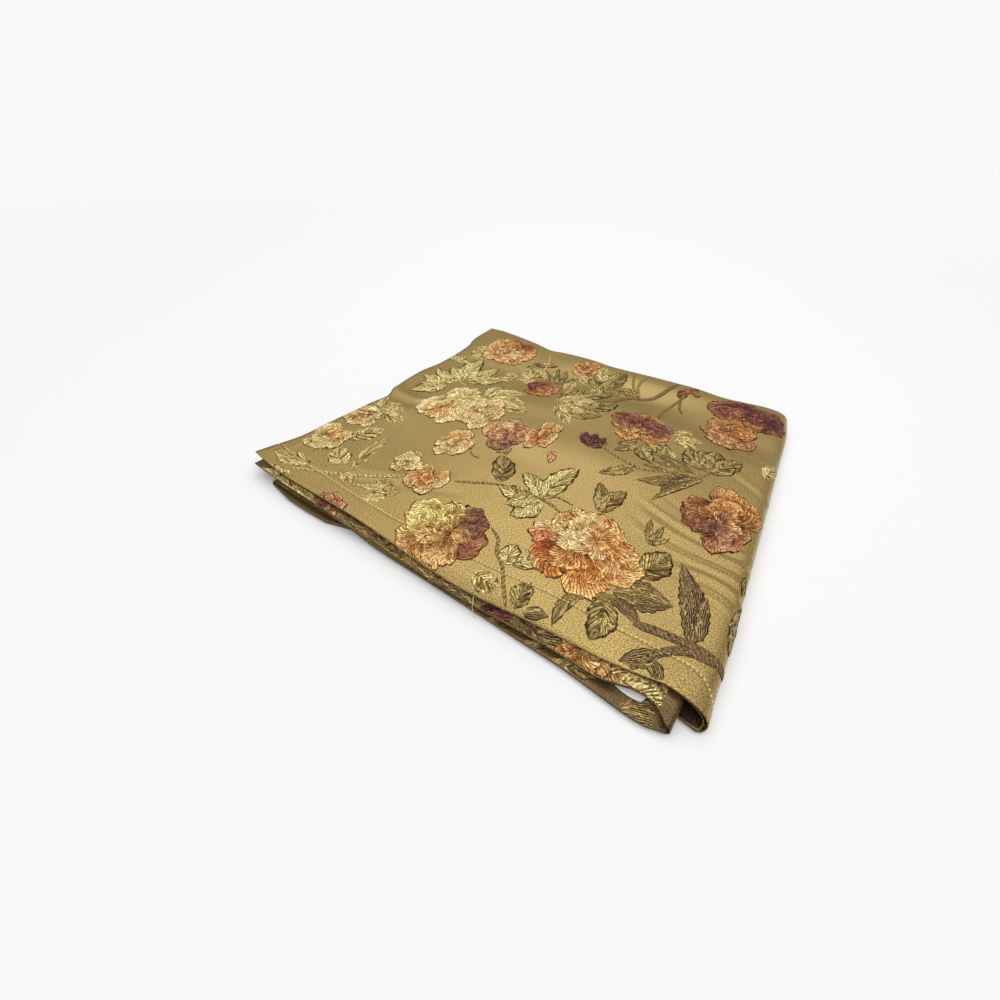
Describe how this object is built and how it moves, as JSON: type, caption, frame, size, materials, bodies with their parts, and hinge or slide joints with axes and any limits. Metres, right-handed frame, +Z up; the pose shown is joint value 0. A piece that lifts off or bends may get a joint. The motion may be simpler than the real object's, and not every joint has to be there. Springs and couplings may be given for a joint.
{
  "type": "embroidered satin curtain panel",
  "caption": "Hemmed curtain panel of embroidered satin, doubled along its length and folded over and over into a flat, slightly uneven pile that lies on a shelf.",
  "frame": {"origin": "under the middle of the pile's plan, on the surface that it lies on", "axes": "+X to the right along the front hems, +Y back towards the long fold, +Z up"},
  "size_m": [0.6238, 0.6302, 0.0261],
  "materials": {
    "satin": "gold-olive satin with raised embroidery",
    "label": "plain white label tape"
  },
  "bodies": {
    "root": {"curtain_panel": "satin", "sewn_in_label": "label"}
  },
  "joints": []
}
